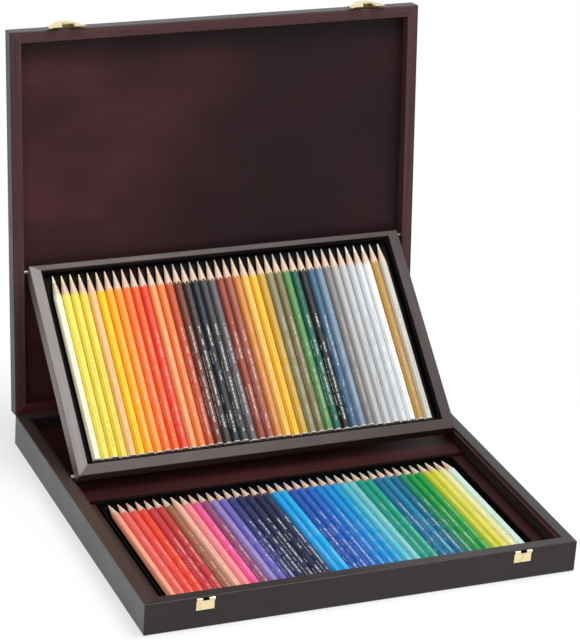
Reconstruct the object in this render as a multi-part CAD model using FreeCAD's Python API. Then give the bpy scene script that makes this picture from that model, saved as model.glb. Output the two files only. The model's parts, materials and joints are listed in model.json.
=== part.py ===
"""Two-tier wooden pencil case: a hinged lid lifts a tilting upper tray above a fixed lower tray.

The origin is the centre of the base's underside, with +Z up and the latches on the -Y side.
The case stands open: the lid is turned back past upright and the upper tray leans into it.
Lid and latch pieces are drawn as they lie when shut, and the tray flat in its own axes, with y
from its lower end and z from its back.  Each is then turned to its open place.
"""
import FreeCAD, Part
import math
import os

# Pencils, in millimetres.  They lie flat side down, in one row to each tin.
PENCILS_PER_ROW = 40
PENCIL_WIDTH = 7.9          # across the corners of the hexagon
PENCIL_GAP = 0.05
PENCIL_LENGTH = 176.5
CONE_LENGTH = 24.0          # sharpened end, to where the cone would meet a point
LEAD_RADIUS = 1.5
LEAD_POINT_RADIUS = 0.35
LEAD_CLEARANCE = 0.05

# Black tins that hold the pencils.
TIN_SHEET = 0.6
TIN_FLOOR = 0.5
TIN_HEIGHT = 7.5
TIN_LIP_WIDTH = 0.6         # how far the rolled lip stands out from the wall
TIN_LIP_HEIGHT = 1.4
TIN_CORNER = 6.0
TIN_SIDE_MARGIN = 6.0
TIN_BLUNT_MARGIN = 3.0
TIN_TIP_MARGIN = 3.5
TIN_FIT = 0.5

# Upper tray.
TRAY_SIDE_RAIL = 10.0
TRAY_BOTTOM_RAIL = 10.0
TRAY_TOP_RAIL = 6.0
TRAY_THICKNESS = 13.5
TRAY_PANEL = 4.0
TRAY_REBATE = 3.0
TRAY_HEEL_BEVEL = 4.0       # on the back of the upper end, so that it turns clear of the lid
TRAY_LIP_BEVEL = 1.2        # on the face of the upper end, for the same reason
TRAY_EASE = 0.6
TRAY_SIDE_GAP = 4.5
TRAY_FRONT_GAP = 6.6        # between the shut tray and the front wall
TRAY_HEADROOM = 0.6         # between the shut tray and the lid's panel
UPPER_PIN_RADIUS = 1.6
UPPER_PIN_INSET = 3.0
UPPER_PIN_HEIGHT = 7.5
LOWER_PIN_RADIUS = 2.0
LOWER_PIN_INSET = 4.0
LOWER_PIN_HEIGHT = 3.0
PIN_ROOT = 8.0              # length of each pin inside the tray's side rail
PIN_RUNNING_FIT = 0.05
PIN_BORE_DEPTH = 6.5
PIN_END_GAP = 0.5

# Case.
CASE_DEPTH = 344.0
BASE_HEIGHT = 28.0
WALL = 10.0
BASE_PANEL = 4.0
LID_PANEL = 3.0
PANEL_REBATE = 4.0
CASE_EASE = 1.0
RIM_EASE = 0.6
RIM_GAP = 0.4               # between the rims when the lid is shut
TIN_BED = 4.5
PACKER_DROP = 3.0           # from the lower tin's lip down to the packers
DECK = 3.5
SUPPORT_STRIP = 8.0
RUNNER = 3.0
RUNNER_DROP = 2.0
RUNNER_GAP = 0.3
SEAT_GAP = 0.3
LID_OPEN_ANGLE = 97.0

# Butt hinges at the back.  The rims are bevelled behind them and meet when the lid is fully open.
HINGE_X = 110.0
HINGE_INSET = 1.0           # from the back's outer face to the hinges' axis
STOP_GAP = 0.3              # between the bevels when the lid is fully open
HINGE_WIDTH = 36.0
HINGE_KNUCKLE = 12.0
HINGE_LEAF = 1.0
HINGE_LEAF_DEPTH = 7.6
KNUCKLE_RADIUS = 2.0
KNUCKLE_ROOM = 0.4
KNUCKLE_GAP = 0.3
HINGE_PIN_RADIUS = 0.9
HINGE_SCREW_X = 12.0
HINGE_SCREW_INSET = 2.7
SCREW_HEAD_RADIUS = 1.9
SCREW_SHANK_RADIUS = 0.9
SCREW_SINK = 1.0
SCREW_LENGTH = 8.0
SCREW_SLOT = 0.4

# Brass latches on the lid's front and catches on the base's front.
LATCH_X = 139.5
LATCH_PLATE_WIDTH = 27.0
LATCH_PLATE_HEIGHT = 8.0
BRASS_SHEET = 0.8
LATCH_PIVOT_HEIGHT = 8.0    # above the lid's rim
LATCH_PIVOT_OUT = 2.9       # in front of the lid
LATCH_BARREL_RADIUS = 1.7
LATCH_PIN_RADIUS = 0.8
LATCH_BARREL_WIDTH = 10.0
LATCH_EAR_WIDTH = 3.0
LATCH_SIDE_GAP = 0.3
LATCH_SCREW_X = 11.2
LATCH_SCREW_LENGTH = 6.0
LEVER_WIDTH = 34.0
LEVER_CROWN = 5.5           # height of the bow in its middle
LEVER_FOOT = 1.6            # height of the bow at its ends
LEVER_SHEET = 1.0
LEVER_LOBE_RADIUS = 4.4
LEVER_HEAD_WIDTH = 12.0
LEVER_HEAD_RISE = 1.2
LEVER_HOOK_SHEET = 1.0
LEVER_HOOK_WIDTH = 8.5      # each hook is the curled edge of a lobe
LEVER_HOOK_HOLD = 2.0       # how much of the catch's rolled edge each hook takes
LEVER_ARCH_RISE = 3.2       # of the arch between the hooks
LEVER_HOOK_OUT = 2.0        # how near the hook comes to the base's front
HOOK_CLEARANCE = 0.5
LEVER_REST_ANGLE = 4.0      # the free lever stands this far off its latched place
CATCH_WIDTH = 15.4
CATCH_HEIGHT = 11.0
CATCH_TOP_DROP = 0.4
CATCH_NOTCH = 5.8
CATCH_NOTCH_DEPTH = 2.9
CATCH_ROLL_RADIUS = 1.3
CATCH_POCKET_DEPTH = 3.0    # of the hole in the wood behind the notch
CATCH_POCKET_HEIGHT = 2.9
CATCH_PIN_X = 5.0
CATCH_PIN_RISE = 2.8
CATCH_PIN_RADIUS = 0.7
CATCH_PIN_LENGTH = 6.0

# Colour families of the pencils, from left to right, with how many pencils each has.
UPPER_FAMILIES = (
    ("yellow", 7), ("orange", 7), ("brown", 5), ("ochre", 6), ("green", 6), ("grey", 5), ("white", 4),
)
LOWER_FAMILIES = (
    ("red", 7), ("pink", 5), ("indigo", 7), ("blue", 6), ("turquoise", 6), ("green", 6), ("lime", 3),
)

# Sizes that follow from the ones above.
PENCIL_PITCH = PENCIL_WIDTH + PENCIL_GAP
HALF_FLATS = PENCIL_WIDTH / 2 * math.cos(math.radians(30))
CONE_SLOPE = PENCIL_WIDTH / 2 / CONE_LENGTH
TIN_WIDTH = PENCILS_PER_ROW * PENCIL_PITCH + 2 * TIN_SIDE_MARGIN
TIN_LENGTH = TIN_BLUNT_MARGIN + PENCIL_LENGTH + TIN_TIP_MARGIN
TRAY_WIDTH = TIN_WIDTH + 2 * TIN_FIT + 2 * TRAY_SIDE_RAIL
TRAY_LENGTH = TRAY_BOTTOM_RAIL + TIN_LENGTH + 2 * TIN_FIT + TRAY_TOP_RAIL
CASE_WIDTH = TRAY_WIDTH + 2 * TRAY_SIDE_GAP + 2 * WALL
INNER_X = CASE_WIDTH / 2 - WALL
INNER_Y = CASE_DEPTH / 2 - WALL
FRONT_Y = -CASE_DEPTH / 2
TIN_X = TIN_WIDTH / 2
LOWER_TIN_Z = BASE_PANEL + TIN_BED
PACKER_TOP = LOWER_TIN_Z + TIN_HEIGHT - PACKER_DROP
DECK_FRONT = -INNER_Y + TIN_FIT + TIN_LENGTH + TIN_FIT
RUNNER_TOP = BASE_HEIGHT - RUNNER_DROP

# Places when the case is shut.
LID_RIM = BASE_HEIGHT + RIM_GAP
HINGE_Y = CASE_DEPTH / 2 - HINGE_INSET
HINGE_Z = BASE_HEIGHT + RIM_GAP / 2
LOWER_PIN_Z = RUNNER_TOP + LOWER_PIN_RADIUS + RUNNER_GAP
SHUT_TRAY_Z = LOWER_PIN_Z - LOWER_PIN_HEIGHT
SHUT_TRAY_Y = -INNER_Y + TRAY_FRONT_GAP
LID_TOP = SHUT_TRAY_Z + TRAY_THICKNESS + TRAY_HEADROOM + LID_PANEL
SHUT_PIN_Y = SHUT_TRAY_Y + TRAY_LENGTH - UPPER_PIN_INSET
SHUT_PIN_Z = SHUT_TRAY_Z + UPPER_PIN_HEIGHT
PIVOT_Y = FRONT_Y - LATCH_PIVOT_OUT
PIVOT_Z = LID_RIM + LATCH_PIVOT_HEIGHT
CATCH_TOP = BASE_HEIGHT - CATCH_TOP_DROP

# Open places.  The upper pins swing with the lid while the lower pins slide back along the runners,
# so the tray's tilt is the angle that puts both pairs of pins at their heights.
LID_TURN = math.radians(LID_OPEN_ANGLE)
PIN_REACH = HINGE_Y - SHUT_PIN_Y
PIN_RISE = SHUT_PIN_Z - HINGE_Z
UPPER_PIN_Y = HINGE_Y - PIN_REACH * math.cos(LID_TURN) + PIN_RISE * math.sin(LID_TURN)
UPPER_PIN_Z = HINGE_Z + PIN_REACH * math.sin(LID_TURN) + PIN_RISE * math.cos(LID_TURN)
PIN_SPAN_ALONG = TRAY_LENGTH - UPPER_PIN_INSET - LOWER_PIN_INSET
PIN_SPAN_ACROSS = UPPER_PIN_HEIGHT - LOWER_PIN_HEIGHT
PIN_SPAN = math.hypot(PIN_SPAN_ALONG, PIN_SPAN_ACROSS)
PIN_SPAN_SLOPE = math.atan2(PIN_SPAN_ACROSS, PIN_SPAN_ALONG)
TRAY_TILT = math.asin((UPPER_PIN_Z - LOWER_PIN_Z) / PIN_SPAN) - PIN_SPAN_SLOPE
LOWER_PIN_Y = UPPER_PIN_Y - PIN_SPAN_ALONG * math.cos(TRAY_TILT) + PIN_SPAN_ACROSS * math.sin(TRAY_TILT)

PAST = 5.0                  # how far a cutting tool runs past the face that it opens
SIDES = (-1, 1)


def box(x0, x1, y0, y1, z0, z1):
    """A block between two corners."""
    return Part.makeBox(x1 - x0, y1 - y0, z1 - z0, FreeCAD.Vector(x0, y0, z0))


def mirrored_box(side, x0, x1, y0, y1, z0, z1):
    """A block whose x range is given outwards from the middle, on the left (-1) or right (1)."""
    return box(min(side * x0, side * x1), max(side * x0, side * x1), y0, y1, z0, z1)


def rod_x(radius, x0, x1, y, z):
    """A round bar that runs along X."""
    return Part.makeCylinder(radius, x1 - x0, FreeCAD.Vector(x0, y, z), FreeCAD.Vector(1, 0, 0))


def moved(shape, x, y, z):
    """A copy of a shape, shifted."""
    copy = shape.copy()
    copy.translate(FreeCAD.Vector(x, y, z))
    return copy


def turned(shape, y, z, angle):
    """A copy of a shape, turned by degrees about a line along X through (y, z)."""
    copy = shape.copy()
    copy.rotate(FreeCAD.Vector(0, y, z), FreeCAD.Vector(1, 0, 0), angle)
    return copy


def opened(shape):
    """A lid piece, turned from its shut place to its open place."""
    return turned(shape, HINGE_Y, HINGE_Z, -LID_OPEN_ANGLE)


def tilted(shape):
    """A tray piece, taken from the tray's own axes to its open place."""
    tilt = math.degrees(TRAY_TILT)
    on_pin = moved(shape, 0, LOWER_PIN_Y - LOWER_PIN_INSET, LOWER_PIN_Z - LOWER_PIN_HEIGHT)
    return turned(on_pin, LOWER_PIN_Y, LOWER_PIN_Z, tilt)


def round_plate(half_x, y0, y1, z0, z1, corner):
    """A plate centred on x, with round upright corners."""
    plate = box(-half_x, half_x, y0, y1, z0, z1)
    uprights = [edge for edge in plate.Edges if edge.BoundBox.ZLength > (z1 - z0) / 2]
    return plate.makeFillet(corner, uprights)


def mitred_bar(corners, z0, z1, rim_z, rim_ends, ease, block):
    """One bar of a mitred frame, with its inner rim edge eased, trimmed to the frame's rounded block."""
    points = [FreeCAD.Vector(x, y, z0) for x, y in corners]
    outline = Part.Face(Part.makePolygon(points + points[:1]))
    bar = outline.extrude(FreeCAD.Vector(0, 0, z1 - z0))
    ends = [FreeCAD.Vector(x, y, rim_z) for x, y in rim_ends]
    rim = [edge for edge in bar.Edges if all(near_end(edge, end) for end in ends)]
    return bar.makeFillet(ease, rim).common(block)


def near_end(edge, point):
    """Whether an edge starts or stops at a point."""
    return any(vertex.Point.distanceToPoint(point) < 1e-4 for vertex in edge.Vertexes)


def mitred_frame(half_x, y0, y1, z0, z1, side, front, back, rim_z, rim_ease, outer_ease):
    """The front, back, left and right bars of a frame, mitred at its corners."""
    block = box(-half_x, half_x, y0, y1, z0, z1)
    block = block.makeFillet(outer_ease, block.Edges)
    outer = ((-half_x, y0), (half_x, y0), (half_x, y1), (-half_x, y1))
    inner_x = half_x - side
    inner = ((-inner_x, y0 + front), (inner_x, y0 + front), (inner_x, y1 - back), (-inner_x, y1 - back))
    bars = []
    for first in range(4):
        second = (first + 1) % 4
        corners = (outer[first], outer[second], inner[second], inner[first])
        rim_ends = (inner[first], inner[second])
        bars.append(mitred_bar(corners, z0, z1, rim_z, rim_ends, rim_ease, block))
    front_bar, right_bar, back_bar, left_bar = bars
    return front_bar, back_bar, left_bar, right_bar


def screw_blank(head_radius, shank_radius, sink, length):
    """A countersunk screw without its slot, head up at the origin, which also cuts its own hole."""
    head = Part.makeCone(shank_radius, head_radius, sink, FreeCAD.Vector(0, 0, -sink))
    shank = Part.makeCylinder(shank_radius, length, FreeCAD.Vector(0, 0, -length))
    return head.fuse(shank).removeSplitter()


def slotted(blank, head_radius, sink):
    """A screw with a slot across its head."""
    slot = box(-head_radius, head_radius, -SCREW_SLOT / 2, SCREW_SLOT / 2, -sink / 2, PAST)
    return blank.cut(slot)


def pencil_pieces():
    """One casing and its lead, along +Y from the blunt end, resting on z = 0."""
    radius = PENCIL_WIDTH / 2
    corners = []
    for corner in range(6):
        angle = math.radians(60 * corner)
        corners.append(FreeCAD.Vector(radius * math.cos(angle), 0, HALF_FLATS + radius * math.sin(angle)))
    hexagon = Part.Face(Part.makePolygon(corners + corners[:1]))
    apex = PENCIL_LENGTH + LEAD_POINT_RADIUS / CONE_SLOPE
    lead_shoulder = apex - LEAD_RADIUS / CONE_SLOPE
    prism = hexagon.extrude(FreeCAD.Vector(0, lead_shoulder, 0))
    axis = FreeCAD.Vector(0, 1, 0)
    blunt = FreeCAD.Vector(0, 0, HALF_FLATS)
    shape_to = Part.makeCone(apex * CONE_SLOPE, LEAD_RADIUS, lead_shoulder, blunt, axis)
    bore = Part.makeCylinder(LEAD_RADIUS + LEAD_CLEARANCE, apex, blunt, axis)
    casing = prism.common(shape_to).cut(bore)
    core = Part.makeCylinder(LEAD_RADIUS, lead_shoulder, blunt, axis)
    point_start = FreeCAD.Vector(0, lead_shoulder, HALF_FLATS)
    point_length = PENCIL_LENGTH - lead_shoulder
    point = Part.makeCone(LEAD_RADIUS, LEAD_POINT_RADIUS, point_length, point_start, axis)
    return casing, core.fuse(point).removeSplitter()


def pencil_row(tier, families, y, z, place):
    """The casings of one row as a node to each colour family, and all its leads as one node."""
    casing, lead = pencil_pieces()
    first_x = -(PENCILS_PER_ROW - 1) / 2 * PENCIL_PITCH
    places = [first_x + index * PENCIL_PITCH for index in range(PENCILS_PER_ROW)]
    nodes = {}
    start = 0
    for name, count in families:
        row = [place(moved(casing, x, y, z)) for x in places[start:start + count]]
        nodes[tier + "_pencils_" + name] = Part.makeCompound(row)
        start += count
    nodes[tier + "_leads"] = Part.makeCompound([place(moved(lead, x, y, z)) for x in places])
    return nodes


def tin():
    """A pressed tray with a thick lip, its outer front edge at y = 0 and its underside at z = 0."""
    lip_end = TIN_LENGTH
    wall = TIN_LIP_WIDTH
    inside = TIN_LIP_WIDTH + TIN_SHEET
    lip = round_plate(TIN_X, 0, lip_end, TIN_HEIGHT - TIN_LIP_HEIGHT, TIN_HEIGHT, TIN_CORNER)
    body = round_plate(TIN_X - wall, wall, lip_end - wall, 0, TIN_HEIGHT, TIN_CORNER - wall)
    hollow = round_plate(TIN_X - inside, inside, lip_end - inside, TIN_FLOOR, TIN_HEIGHT + PAST,
                         TIN_CORNER - inside)
    return body.fuse(lip).cut(hollow).removeSplitter()


def base_box():
    """The base's mitred walls and its flush bottom panel."""
    half_x = CASE_WIDTH / 2
    front, back, left, right = mitred_frame(half_x, FRONT_Y, -FRONT_Y, 0, BASE_HEIGHT, WALL, WALL, WALL,
                                            BASE_HEIGHT, RIM_EASE, CASE_EASE)
    seat_x = INNER_X + PANEL_REBATE
    seat_y = INNER_Y + PANEL_REBATE
    panel = box(-seat_x, seat_x, -seat_y, seat_y, 0, BASE_PANEL)
    cutters = [panel, stop_bevel(-1)]
    return {
        "base_front_wall": front.cut(panel),
        "base_back_wall": back.cut(cutters),
        "base_left_wall": left.cut(cutters),
        "base_right_wall": right.cut(cutters),
        "base_bottom_panel": panel,
    }


def base_fittings():
    """What is glued into the base: runners, packers, the rear deck and the board under the lower tin."""
    nodes = {}
    packer_x = TIN_X + SEAT_GAP
    for name, side in (("left", -1), ("right", 1)):
        nodes[name + "_runner"] = mirrored_box(side, INNER_X - RUNNER, INNER_X, -INNER_Y, INNER_Y,
                                               RUNNER_TOP - RUNNER, RUNNER_TOP)
        nodes[name + "_packer"] = mirrored_box(side, packer_x, INNER_X, -INNER_Y, INNER_Y,
                                               BASE_PANEL, PACKER_TOP)
    strips = []
    for strip_y in (DECK_FRONT, INNER_Y - SUPPORT_STRIP):
        strips.append(box(-packer_x, packer_x, strip_y, strip_y + SUPPORT_STRIP, BASE_PANEL, PACKER_TOP))
    nodes["deck_support_strips"] = Part.makeCompound(strips)
    nodes["rear_deck"] = box(-INNER_X, INNER_X, DECK_FRONT, INNER_Y, PACKER_TOP, PACKER_TOP + DECK)
    nodes["lower_tin_bed"] = box(-TIN_X, TIN_X, -INNER_Y + SEAT_GAP, DECK_FRONT - SEAT_GAP,
                                 BASE_PANEL, LOWER_TIN_Z)
    nodes["lower_tin"] = moved(tin(), 0, -INNER_Y + TIN_FIT, LOWER_TIN_Z)
    return nodes


def stop_bevel(upwards):
    """A prism behind the hinges' axis that bevels the base's (-1) or the lid's (1) rear rim."""
    slope = math.tan(LID_TURN / 2)
    offset = STOP_GAP / 2 / math.cos(LID_TURN / 2)
    rear_y = HINGE_Y + PAST
    points = [
        FreeCAD.Vector(-CASE_WIDTH, HINGE_Y, HINGE_Z + upwards * offset),
        FreeCAD.Vector(-CASE_WIDTH, rear_y, HINGE_Z + upwards * (offset + slope * PAST)),
        FreeCAD.Vector(-CASE_WIDTH, rear_y, HINGE_Z - upwards * PAST),
        FreeCAD.Vector(-CASE_WIDTH, HINGE_Y, HINGE_Z - upwards * PAST),
    ]
    outline = Part.Face(Part.makePolygon(points + points[:1]))
    return outline.extrude(FreeCAD.Vector(2 * CASE_WIDTH, 0, 0))


def lid_box():
    """The lid's mitred rails and its flush panel, as they lie when shut."""
    half_x = CASE_WIDTH / 2
    front, back, left, right = mitred_frame(half_x, FRONT_Y, -FRONT_Y, LID_RIM, LID_TOP, WALL, WALL, WALL,
                                            LID_RIM, RIM_EASE, CASE_EASE)
    seat_x = INNER_X + PANEL_REBATE
    seat_y = INNER_Y + PANEL_REBATE
    panel = box(-seat_x, seat_x, -seat_y, seat_y, LID_TOP - LID_PANEL, LID_TOP)
    bore = PIN_RUNNING_FIT + UPPER_PIN_RADIUS
    bore_end = INNER_X + PIN_BORE_DEPTH
    left_bore = rod_x(bore, -bore_end, -INNER_X + PAST, SHUT_PIN_Y, SHUT_PIN_Z)
    right_bore = rod_x(bore, INNER_X - PAST, bore_end, SHUT_PIN_Y, SHUT_PIN_Z)
    cutters = [panel, stop_bevel(1)]
    return {
        "lid_front_rail": front.cut(panel),
        "lid_back_rail": back.cut(cutters),
        "lid_left_rail": left.cut(cutters + [left_bore]),
        "lid_right_rail": right.cut(cutters + [right_bore]),
        "lid_panel": panel,
    }


def tray_pins(radius, outer_x, y, z):
    """One pair of pins, let into the tray's side rails and standing out to each side."""
    root_x = TRAY_WIDTH / 2 - PIN_ROOT
    return [rod_x(radius, root_x, outer_x, y, z), rod_x(radius, -outer_x, -root_x, y, z)]


def tray_box():
    """The upper tray's mitred rails, back panel, tin and pins, flat in the tray's own axes."""
    front, back, left, right = mitred_frame(TRAY_WIDTH / 2, 0, TRAY_LENGTH, 0, TRAY_THICKNESS,
                                            TRAY_SIDE_RAIL, TRAY_BOTTOM_RAIL, TRAY_TOP_RAIL,
                                            TRAY_THICKNESS, TRAY_EASE, TRAY_EASE)
    seat_x = TRAY_WIDTH / 2 - TRAY_SIDE_RAIL + TRAY_REBATE
    seat_end = TRAY_LENGTH - TRAY_TOP_RAIL + TRAY_REBATE
    panel = box(-seat_x, seat_x, TRAY_BOTTOM_RAIL - TRAY_REBATE, seat_end, 0, TRAY_PANEL)
    upper_y = TRAY_LENGTH - UPPER_PIN_INSET
    upper_end = INNER_X + PIN_BORE_DEPTH - PIN_END_GAP
    upper_pins = tray_pins(UPPER_PIN_RADIUS, upper_end, upper_y, UPPER_PIN_HEIGHT)
    lower_pins = tray_pins(LOWER_PIN_RADIUS, INNER_X - PIN_END_GAP, LOWER_PIN_INSET, LOWER_PIN_HEIGHT)
    heel = bevel_tool(TRAY_HEEL_BEVEL, 0, -1)
    lip = bevel_tool(TRAY_LIP_BEVEL, TRAY_THICKNESS, 1)
    cutters = upper_pins + lower_pins + [panel, heel, lip]
    return {
        "tray_bottom_rail": front.cut(cutters),
        "tray_top_rail": back.cut(cutters),
        "tray_left_rail": left.cut(cutters),
        "tray_right_rail": right.cut(cutters),
        "tray_back_panel": panel,
        "upper_tin": moved(tin(), 0, TRAY_BOTTOM_RAIL + TIN_FIT, TRAY_PANEL),
        "tray_upper_pins": Part.makeCompound(upper_pins),
        "tray_lower_pins": Part.makeCompound(lower_pins),
    }


def bevel_tool(size, z, outwards):
    """A prism that takes a 45 degree bevel off the tray's upper end, at its back or its face."""
    reach = size + PAST
    y = TRAY_LENGTH
    points = [
        FreeCAD.Vector(-TRAY_WIDTH, y - size - PAST, z + outwards * PAST),
        FreeCAD.Vector(-TRAY_WIDTH, y + PAST, z - outwards * reach),
        FreeCAD.Vector(-TRAY_WIDTH, y + PAST, z + outwards * PAST),
    ]
    outline = Part.Face(Part.makePolygon(points + points[:1]))
    return outline.extrude(FreeCAD.Vector(2 * TRAY_WIDTH, 0, 0))


def hinge_leaf(z0, knuckles, bore):
    """A hinge leaf around x = 0 with its knuckles, cut back where the other leaf's knuckles turn."""
    half = HINGE_WIDTH / 2
    leaf = box(-half, half, HINGE_Y - HINGE_LEAF_DEPTH, HINGE_Y, z0, z0 + HINGE_LEAF)
    cut_y = HINGE_Y - KNUCKLE_RADIUS - KNUCKLE_ROOM
    leaf = leaf.cut(box(-half - PAST, half + PAST, cut_y, HINGE_Y + PAST,
                        z0 - PAST, z0 + HINGE_LEAF + PAST))
    for x0, x1 in knuckles:
        web = box(x0, x1, HINGE_Y - HINGE_LEAF_DEPTH, HINGE_Y, z0, z0 + HINGE_LEAF)
        leaf = leaf.fuse(web.fuse(rod_x(KNUCKLE_RADIUS, x0, x1, HINGE_Y, HINGE_Z)))
    return leaf.cut(rod_x(bore, -half - PAST, half + PAST, HINGE_Y, HINGE_Z)).removeSplitter()


def hinges():
    """Leaves, pins and screws of the two butt hinges, and the tools that let them into the wood."""
    half = HINGE_WIDTH / 2
    middle = HINGE_KNUCKLE / 2
    outer = ((-half, -middle - KNUCKLE_GAP), (middle + KNUCKLE_GAP, half))
    base_leaf = hinge_leaf(BASE_HEIGHT - HINGE_LEAF, outer, HINGE_PIN_RADIUS)
    lid_leaf = hinge_leaf(LID_RIM, ((-middle, middle),), HINGE_PIN_RADIUS + PIN_RUNNING_FIT)
    pin = rod_x(HINGE_PIN_RADIUS, -half, half, HINGE_Y, HINGE_Z)
    blank = screw_blank(SCREW_HEAD_RADIUS, SCREW_SHANK_RADIUS, SCREW_SINK, SCREW_LENGTH)
    room = KNUCKLE_RADIUS + KNUCKLE_ROOM
    end = half + KNUCKLE_ROOM
    leaf_y = HINGE_Y - HINGE_LEAF_DEPTH
    rear_y = HINGE_Y + PAST
    parts = {"base_leaves": [], "lid_leaves": [], "pins": [], "base_screws": [], "lid_screws": []}
    tools = {"base": [], "lid": []}
    for side in SIDES:
        x = side * HINGE_X
        base_blanks = []
        lid_blanks = []
        for screw_side in SIDES:
            screw_x = x + screw_side * HINGE_SCREW_X
            screw_y = leaf_y + HINGE_SCREW_INSET
            base_blanks.append(moved(blank, screw_x, screw_y, BASE_HEIGHT))
            lid_blanks.append(moved(turned(blank, 0, 0, 180), screw_x, screw_y, LID_RIM))
        parts["base_leaves"].append(moved(base_leaf, x, 0, 0).cut(base_blanks))
        parts["lid_leaves"].append(moved(lid_leaf, x, 0, 0).cut(lid_blanks))
        parts["pins"].append(moved(pin, x, 0, 0))
        parts["base_screws"] += base_blanks
        parts["lid_screws"] += lid_blanks
        tools["base"] += base_blanks
        tools["lid"] += lid_blanks
        for body, low, high in (("base", -1, 0), ("lid", 0, 1)):
            leaf_low = HINGE_Z + low * (RIM_GAP / 2 + HINGE_LEAF)
            leaf_high = HINGE_Z + high * (RIM_GAP / 2 + HINGE_LEAF)
            tools[body].append(box(x - half, x + half, leaf_y, rear_y, leaf_low, leaf_high))
            tools[body].append(box(x - end, x + end, HINGE_Y - room, rear_y,
                                   HINGE_Z + low * room, HINGE_Z + high * room))
    return parts, tools


def latch_plate():
    """The plate on the lid's front around x = 0, with the two ears that hold the lever's pin."""
    middle = PIVOT_Z
    half = LATCH_PLATE_WIDTH / 2
    plate = box(-half, half, FRONT_Y - BRASS_SHEET, FRONT_Y, middle - LATCH_PLATE_HEIGHT / 2,
                middle + LATCH_PLATE_HEIGHT / 2)
    ear_start = LATCH_BARREL_WIDTH / 2 + LATCH_SIDE_GAP
    for side in SIDES:
        x0 = min(side * ear_start, side * (ear_start + LATCH_EAR_WIDTH))
        x1 = x0 + LATCH_EAR_WIDTH
        web = box(x0, x1, PIVOT_Y, FRONT_Y, middle - LATCH_BARREL_RADIUS, middle + LATCH_BARREL_RADIUS)
        plate = plate.fuse(web.fuse(rod_x(LATCH_BARREL_RADIUS, x0, x1, PIVOT_Y, PIVOT_Z)))
    return plate.cut(rod_x(LATCH_PIN_RADIUS, -half, half, PIVOT_Y, PIVOT_Z)).removeSplitter()


def lever_outline():
    """The lever seen from the front: a narrow head at the pivot, widening to a round lobe each side."""
    low = hook_top() - LEVER_HOOK_SHEET
    lobe_x = LEVER_WIDTH / 2 - LEVER_LOBE_RADIUS
    lobe_z = low + LEVER_LOBE_RADIUS
    head_x = LEVER_HEAD_WIDTH / 2
    shoulder_x = lobe_x + LEVER_LOBE_RADIUS / 2
    shoulder_z = lobe_z + LEVER_LOBE_RADIUS * math.cos(math.radians(30))
    y = FRONT_Y
    points = [
        FreeCAD.Vector(-lobe_x, y, low),
        FreeCAD.Vector(lobe_x, y, low),
        FreeCAD.Vector(shoulder_x, y, shoulder_z),
        FreeCAD.Vector(head_x, y, PIVOT_Z + LEVER_HEAD_RISE),
        FreeCAD.Vector(-head_x, y, PIVOT_Z + LEVER_HEAD_RISE),
        FreeCAD.Vector(-shoulder_x, y, shoulder_z),
    ]
    forward = FreeCAD.Vector(0, -PAST - LEVER_CROWN, 0)
    outline = Part.Face(Part.makePolygon(points + points[:1])).extrude(forward)
    for side in SIDES:
        outline = outline.fuse(Part.makeCylinder(LEVER_LOBE_RADIUS, PAST + LEVER_CROWN,
                                                 FreeCAD.Vector(side * lobe_x, y, lobe_z),
                                                 FreeCAD.Vector(0, -1, 0)))
    arch = (hook_start() ** 2 + LEVER_ARCH_RISE ** 2) / (2 * LEVER_ARCH_RISE)
    arch_centre = FreeCAD.Vector(0, y + PAST, low + LEVER_ARCH_RISE - arch)
    between = Part.makeCylinder(arch, LEVER_CROWN + 3 * PAST, arch_centre, FreeCAD.Vector(0, -1, 0))
    return outline.cut(between).removeSplitter()


def hook_start():
    """How far from the lever's middle each hook starts, inside the catch's end."""
    return CATCH_WIDTH / 2 - LEVER_HOOK_HOLD


def hook_top():
    """The height of the latched hook's upper face, just under the catch's rolled edge."""
    return CATCH_TOP - 2 * CATCH_ROLL_RADIUS - HOOK_CLEARANCE


def latch_lever():
    """The bowed lever around x = 0, latched: a bent shell, its barrel, and a hook for each half catch."""
    rise = LEVER_CROWN - LEVER_FOOT
    bow = ((LEVER_WIDTH / 2) ** 2 + rise ** 2) / (2 * rise)
    centre = FreeCAD.Vector(0, FRONT_Y - LEVER_CROWN + bow, hook_top() - PAST)
    height = PIVOT_Z + PAST - centre.z
    inner = Part.makeCylinder(bow - LEVER_SHEET, height, centre)
    shell = Part.makeCylinder(bow, height, centre).cut(inner)
    lever = shell.common(lever_outline())
    half = LATCH_BARREL_WIDTH / 2
    lever = lever.fuse(rod_x(LATCH_BARREL_RADIUS, -half, half, PIVOT_Y, PIVOT_Z))
    inner_crown = FRONT_Y - LEVER_CROWN
    within = Part.makeCylinder(bow - LEVER_SHEET / 2, height, centre)
    ear_start = half + LATCH_SIDE_GAP
    for side in SIDES:
        hook = mirrored_box(side, hook_start(), hook_start() + LEVER_HOOK_WIDTH,
                            inner_crown, FRONT_Y - LEVER_HOOK_OUT,
                            hook_top() - LEVER_HOOK_SHEET, hook_top())
        lever = lever.fuse(hook.common(within))
        inner_x = side * (ear_start - LATCH_SIDE_GAP)
        outer_x = side * (ear_start + LATCH_EAR_WIDTH + LATCH_SIDE_GAP)
        ear_room = rod_x(LATCH_BARREL_RADIUS + KNUCKLE_ROOM, min(inner_x, outer_x), max(inner_x, outer_x),
                         PIVOT_Y, PIVOT_Z)
        lever = lever.cut(ear_room)
    bore = rod_x(LATCH_PIN_RADIUS + PIN_RUNNING_FIT, -half - PAST, half + PAST, PIVOT_Y, PIVOT_Z)
    return lever.cut(bore).removeSplitter()


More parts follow.
